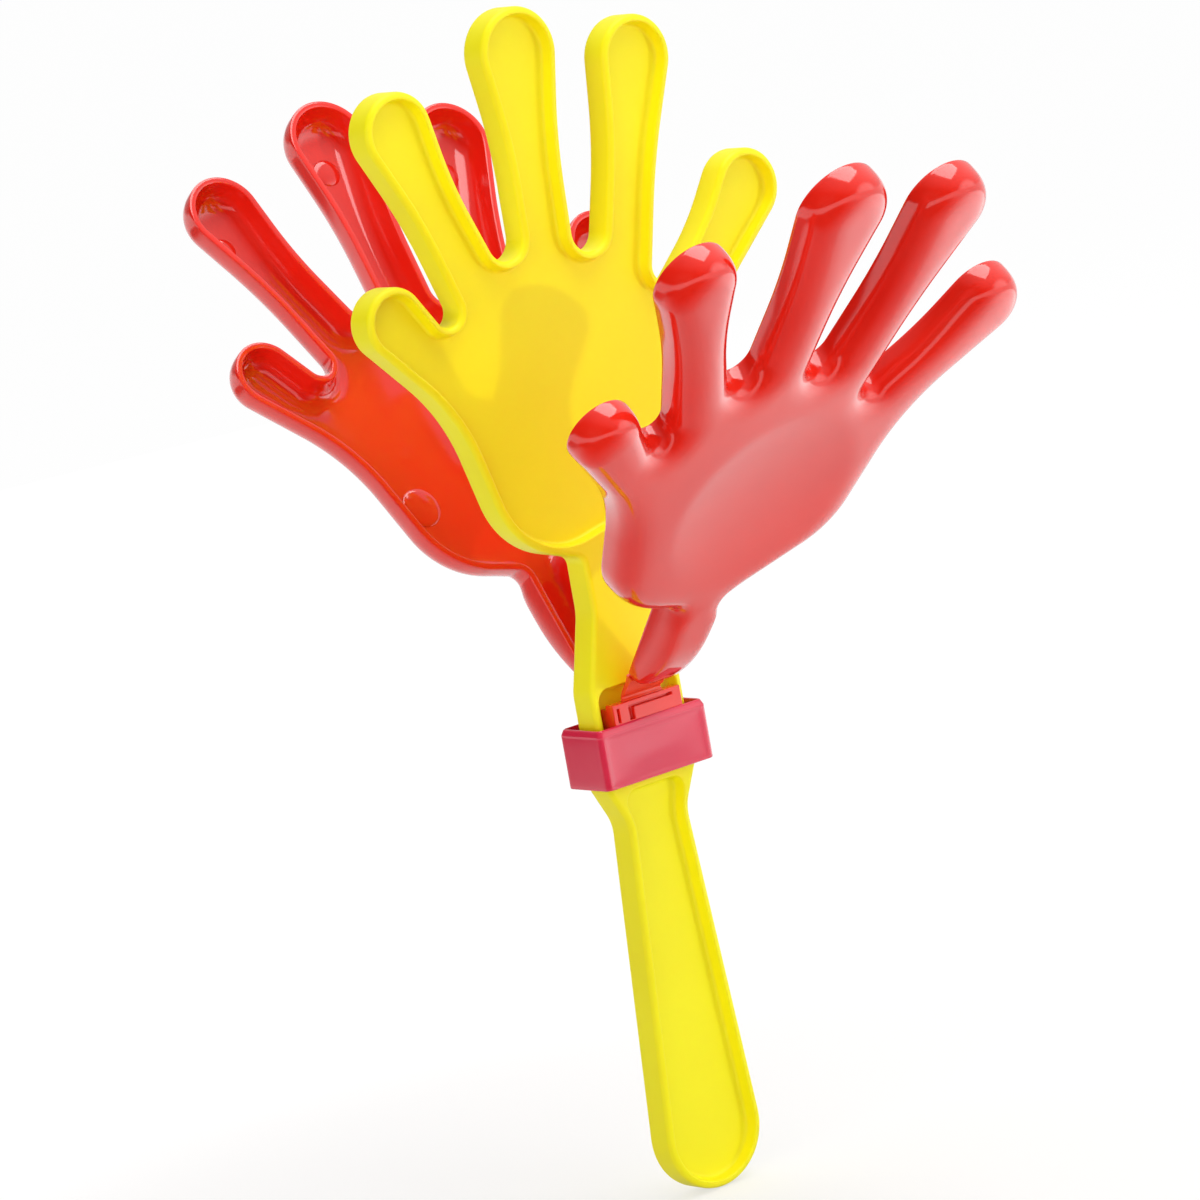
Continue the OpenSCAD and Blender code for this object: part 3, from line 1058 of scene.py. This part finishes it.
@dataclass
class BasePlate:
    """The plate at the foot of a side moulding, with softened edges. Sizes in millimetres and degrees."""

    side: Side
    soft: float = 0.22
    soft_steps: int = 2
    merge: float = 0.001
    flat_to: float = 1.0
    sharp_from: float = 25.0

    def build(self) -> Object:
        """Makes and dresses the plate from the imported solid.

        Returns:
            The finished piece.
        """
        node = f"{self.side.word}_base_plate"
        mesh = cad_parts[node].data.copy()
        mesh.name = f"{node}_moulding"
        bm = bmesh.new()
        bm.from_mesh(mesh)
        bmesh.ops.remove_doubles(bm, verts=bm.verts, dist=self.merge * MM)
        bmesh.ops.dissolve_limit(bm, angle_limit=math.radians(self.flat_to), verts=bm.verts, edges=bm.edges)
        limit = math.radians(self.sharp_from)
        sharp = [e for e in bm.edges if len(e.link_faces) == 2 and e.calc_face_angle() > limit]
        bmesh.ops.bevel(
            bm, geom=sharp, offset=self.soft * MM, segments=self.soft_steps, profile=0.5, affect="EDGES",
            clamp_overlap=True,
        )
        bm.to_mesh(mesh)
        bm.free()
        obj = linked(mesh.name, mesh)
        clean(mesh)
        weighted(obj)
        return dress(obj, Finish.RED, "handle", [node])


class MarkTree:
    """Geometry Nodes tree that puts a low round boss at each point, as wide as the point says."""

    RADIUS = "mark_radius"
    HEIGHT_SHARE = 0.12
    SEGMENTS = 48
    RINGS = 16

    def __init__(self) -> None:
        """Builds the tree."""
        tree = bpy.data.node_groups.new("moulding_marks", "GeometryNodeTree")
        face = tree.interface
        face.new_socket("Geometry", in_out="INPUT", socket_type="NodeSocketGeometry")
        kinds = {"Tilt": "Float", "Height Share": "Float", "Plastic": "Material"}
        self.tilt, self.height, self.plastic = (
            face.new_socket(name, in_out="INPUT", socket_type=f"NodeSocket{kind}").identifier
            for name, kind in kinds.items()
        )
        face.new_socket("Geometry", in_out="OUTPUT", socket_type="NodeSocketGeometry")
        given = add(tree, "NodeGroupInput").outputs
        ball = add(
            tree, "GeometryNodeMeshUVSphere", {"Segments": self.SEGMENTS, "Rings": self.RINGS, "Radius": 1.0}
        )
        flat = add(tree, "ShaderNodeCombineXYZ", {"X": 1.0, "Y": 1.0, "Z": given["Height Share"]})
        boss = add(tree, "GeometryNodeTransform", {"Geometry": ball, "Scale": flat})
        radius = add(tree, "GeometryNodeInputNamedAttribute", {"Name": self.RADIUS}, data_type="FLOAT")
        turn = add(tree, "ShaderNodeCombineXYZ", {"X": given["Tilt"]})
        marks = add(
            tree, "GeometryNodeInstanceOnPoints",
            {"Points": given["Geometry"], "Instance": boss, "Rotation": turn, "Scale": radius},
        )
        real = add(tree, "GeometryNodeRealizeInstances", {"Geometry": marks})
        smooth = add(tree, "GeometryNodeSetShadeSmooth", {"Geometry": real})
        dressed = add(tree, "GeometryNodeSetMaterial", {"Geometry": smooth, "Material": given["Plastic"]})
        add(tree, "NodeGroupOutput", {"Geometry": dressed})
        self.tree = tree

    def apply(self, points: Object, tilt: float) -> Object:
        """Turns loose points into one plain mesh of bosses.

        Args:
            points: Object with the points and their radii.
            tilt: Turn about X that lays a boss on the face, in radians.

        Returns:
            The same object, with the bosses for its mesh.
        """
        modifier = points.modifiers.new("moulding_marks", "NODES")
        modifier.node_group = self.tree
        modifier[self.tilt] = tilt
        modifier[self.height] = self.HEIGHT_SHARE
        modifier[self.plastic] = Finish.RED.material()
        graph = bpy.context.evaluated_depsgraph_get()
        mesh = bpy.data.meshes.new_from_object(points.evaluated_get(graph))
        points.modifiers.remove(modifier)
        points.data = mesh
        return points


# Studio

def sheet(name: str, middle: Pair, half: Pair, z: float) -> Object:
    """Lays a level rectangle. Lengths in metres.

    Args:
        name: Name of the object.
        middle: Its middle in X and Y.
        half: Half its size along X and Y.
        z: Its level.

    Returns:
        The new object.
    """
    (x, y), (u, v) = middle, half
    corners = [(x + i * u, y + j * v, z) for i, j in ((-1, -1), (1, -1), (1, 1), (-1, 1))]
    mesh = bpy.data.meshes.new(name)
    mesh.from_pydata(corners, [], [(0, 1, 2, 3)])
    return linked(name, mesh)


def round_fade(tree: NodeTree, middle: Sequence[float], reach: Sequence[float]) -> NodeSocket:
    """Adds a round gradient, 1 at a point and 0 at its reach.

    Args:
        tree: Tree that takes the nodes.
        middle: The point, in metres.
        reach: How far the gradient goes along X, Y and Z.

    Returns:
        The socket that gives it.
    """
    spot = add(tree, "ShaderNodeTexCoord").outputs["Object"]
    place = {"Vector": spot, "Location": middle, "Scale": reach}
    centred = add(tree, "ShaderNodeMapping", place, vector_type="TEXTURE")
    return add(tree, "ShaderNodeTexGradient", {"Vector": centred}, gradient_type="SPHERICAL").outputs["Fac"]


@dataclass(frozen=True)
class Softbox:
    """A square softbox: place and side in metres, power in watts, if reflections show it, and its colour."""

    name: str
    spot: Triple
    size: float
    power: float
    seen: bool
    tint: str = WHITE

    def build(self, aim: Triple) -> None:
        """Hangs the softbox so that it faces a point.

        Args:
            aim: The point that it faces.
        """
        lamp = bpy.data.lights.new(self.name, "AREA")
        lamp.shape = "SQUARE"
        lamp.size = self.size
        lamp.energy = self.power
        lamp.color = linear(self.tint)[:3]
        obj = linked(self.name, lamp)
        away = Vector(self.spot) - Vector(aim)
        obj.matrix_world = Matrix.Translation(self.spot) @ away.to_track_quat("Z", "Y").to_matrix().to_4x4()
        obj.visible_glossy = self.seen


@dataclass(frozen=True)
class Card:
    """A card just over the floor that only reflections see, with a soft edge. Lengths in metres."""

    name: str
    middle: Pair
    half: Pair
    level: float
    fade: float
    lift: float

    def build(self, floor_z: float) -> None:
        """Lays the card.

        Args:
            floor_z: Level of the floor.
        """
        z = floor_z + self.lift
        card = sheet(self.name, self.middle, self.half, z)
        card.visible_camera = card.visible_diffuse = card.visible_shadow = card.visible_transmission = False
        material = blank_material(self.name)
        tree = material.node_tree
        near = round_fade(tree, (*self.middle, z), (*self.half, 1.0))
        fade = add(
            tree, "ShaderNodeMapRange", {"Value": near, "From Max": self.fade},
            interpolation_type="SMOOTHSTEP",
        )
        clear = add(tree, "ShaderNodeBsdfTransparent")
        shown = add(tree, "ShaderNodeEmission", {"Color": linear(WHITE), "Strength": self.level})
        both = add(tree, "ShaderNodeMixShader", {0: fade, 1: clear, 2: shown})
        add(tree, "ShaderNodeOutputMaterial", {"Surface": both})
        card.data.materials.append(material)


@dataclass
class Studio:
    """Floor, backdrop light, softboxes and the camera. Lengths in metres, angles in degrees."""

    floor_z: float = -0.0502
    floor_half: float = 14.0
    paper: str = "#D2D2D2"
    # Near the clapper less of the floor glows, so that the clapper's soft shadow shows on the paper
    near_reach: float = 0.35
    near_solid: float = 0.6
    near_share: float = 0.46
    near_glow: float = 1.376
    far_share: float = 0.9
    far_glow: float = 1.06
    # The room brightens along a slope, and is white like the floor up to the first of two rises
    world_level: float = 0.1
    world_least: float = 0.02
    world_slope: Triple = (0.5, 0.1, 0.55)
    world_white: Pair = (0.05, 0.12)
    # The window's direction, the cosines where it starts and is full, and its brightness
    window_way: Triple = (0.64, -0.766, 0.06)
    window_edge: Pair = (0.86, 0.97)
    window_level: float = 1.2
    cards: tuple[Card, ...] = (
        Card("front_dark_card", (-0.5, -0.5), (0.9, 0.95), 0.02, 0.6, 0.002),
        Card("left_dark_card", (-1.1, 0.1), (0.8, 0.6), 0.02, 0.5, 0.003),
        Card("far_grey_card", (-0.5, 0.65), (0.5, 0.45), 0.18, 0.6, 0.004),
        Card("right_bright_card", (0.58, -0.2), (0.55, 0.4), 2.2, 0.5, 0.005),
    )
    azimuth: float = -37.397
    elevation: float = 9.614
    roll: float = -10.129
    sensor_mm: float = 36.0
    lens_mm: float = 178.649
    clip: float = 100.0
    distance: float = 1.37381
    aim: Triple = (0.0, 0.0, 0.09)
    slide: Pair = (0.0028088, -0.0012679)
    softboxes: tuple[Softbox, ...] = (
        Softbox("top_softbox", (0.2, -0.24, 1.15), 0.8, 6.6, True),
        Softbox("right_lamp", (0.77, -0.92, 0.048), 0.015, 2.6, False),
        Softbox("front_fill", (0.1, -1.25, 0.3), 1.2, 0.8, False),
        Softbox("left_fill", (-1.1, -0.6, 0.4), 1.0, 8.2, False, "#FFF4E6"),
        Softbox("back_fill", (0.2, 1.3, 0.35), 1.2, 7.0, False),
    )

    def build(self) -> None:
        """Sets the stage, the light and the view."""
        bpy.context.scene.view_settings.view_transform = "Standard"
        self.build_floor()
        self.build_world()
        for card in self.cards:
            card.build(self.floor_z)
        for box in self.softboxes:
            box.build(self.aim)
        self.build_camera()

    def build_floor(self) -> None:
        """Lays the plain pale floor, which keeps the object's shadow."""
        floor = sheet("floor", (0.0, 0.0), (self.floor_half, self.floor_half), self.floor_z)
        material = blank_material("white_paper_sweep")
        tree = material.node_tree
        rays = add(tree, "ShaderNodeLightPath").outputs
        seen = rays["Is Camera Ray"]
        for ray in ("Is Glossy Ray", "Is Transmission Ray"):
            seen = add(tree, "ShaderNodeMath", {0: seen, 1: rays[ray]}, operation="MAXIMUM")
        near = round_fade(tree, (0.0, 0.0, self.floor_z), (self.near_reach,) * 3)
        glowing, strength = (
            add(
                tree, "ShaderNodeMapRange",
                {"Value": near, "From Max": self.near_solid, "To Min": far, "To Max": close},
                interpolation_type="SMOOTHSTEP",
            )
            for far, close in ((self.far_share, self.near_share), (self.far_glow, self.near_glow))
        )
        share = add(tree, "ShaderNodeMath", {0: seen, 1: glowing}, operation="MULTIPLY")
        paper = add(tree, "ShaderNodeBsdfDiffuse", {"Color": linear(self.paper)})
        glow = add(tree, "ShaderNodeEmission", {"Color": linear(WHITE), "Strength": strength})
        both = add(tree, "ShaderNodeMixShader", {0: share, 1: paper, 2: glow})
        add(tree, "ShaderNodeOutputMaterial", {"Surface": both})
        floor.data.materials.append(material)

    def build_world(self) -> None:
        """Makes the room: white low down, dim on the left, with a bright window on the right."""
        world = bpy.data.worlds.new("studio")
        bpy.context.scene.world = world
        world.use_nodes = True
        tree = world.node_tree
        tree.nodes.clear()
        way = add(tree, "ShaderNodeTexCoord").outputs["Generated"]
        rise = add(tree, "ShaderNodeSeparateXYZ", {"Vector": way}).outputs["Z"]
        room, facing = (
            add(tree, "ShaderNodeVectorMath", {0: way, 1: line}, operation="DOT_PRODUCT").outputs["Value"]
            for line in (self.world_slope, self.window_way)
        )
        start, full = self.window_edge
        window = add(
            tree, "ShaderNodeMapRange",
            {"Value": facing, "From Min": start, "From Max": full, "To Max": self.window_level},
            interpolation_type="SMOOTHSTEP",
        )
        steps = (("ADD", self.world_level), ("MAXIMUM", self.world_least), ("ADD", window))
        for operation, value in steps:
            room = add(tree, "ShaderNodeMath", {0: room, 1: value}, operation=operation)
        full, end = self.world_white
        low = add(
            tree, "ShaderNodeMapRange",
            {"Value": rise, "From Min": full, "From Max": end, "To Min": 1.0, "To Max": 0.0},
        )
        white = add(tree, "ShaderNodeMath", {0: room, 1: 1.0}, operation="MAXIMUM")
        level = add(tree, "ShaderNodeMix", {"Factor": low, "A": room, "B": white})
        sky = add(tree, "ShaderNodeBackground", {"Color": linear(WHITE), "Strength": level})
        add(tree, "ShaderNodeOutputWorld", {"Surface": sky})

    def build_camera(self) -> None:
        """Stands the camera at the photograph's angle."""
        a, e, r = (math.radians(v) for v in (self.azimuth, self.elevation, self.roll))
        back = Vector((math.sin(a) * math.cos(e), -math.cos(a) * math.cos(e), math.sin(e)))
        level = Vector((math.cos(a), math.sin(a), 0))
        over = back.cross(level)
        right = math.cos(r) * level + math.sin(r) * over
        up = math.cos(r) * over - math.sin(r) * level
        eye = Vector(self.aim) - self.slide[0] * right - self.slide[1] * up + self.distance * back
        data = bpy.data.cameras.new("camera")
        data.sensor_width = self.sensor_mm
        data.lens = self.lens_mm
        data.clip_end = self.clip
        camera = linked("camera", data)
        camera.matrix_world = Matrix.Translation(eye) @ Matrix((right, up, back)).transposed().to_4x4()
        bpy.context.scene.camera = camera


def main() -> None:
    """Builds the clapper, the floor, the light and the camera."""
    logging.basicConfig(level=logging.INFO, format="%(name)s: %(message)s")
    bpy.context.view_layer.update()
    Studio().build()
    drawing = HandDrawing()
    pieces = [CentreHand(drawing).build()]
    marks = MarkTree()
    for side in Side:
        hand = SideHand(side, drawing)
        pieces += [hand.build(), hand.build_marks(marks), HingeStrap(hand).build(), BasePlate(side).build()]
    pieces.append(Collar().build())
    for piece in pieces:
        LOG.info("%s: %d faces", piece.name, len(piece.data.polygons))


if __name__ == "__main__":
    main()
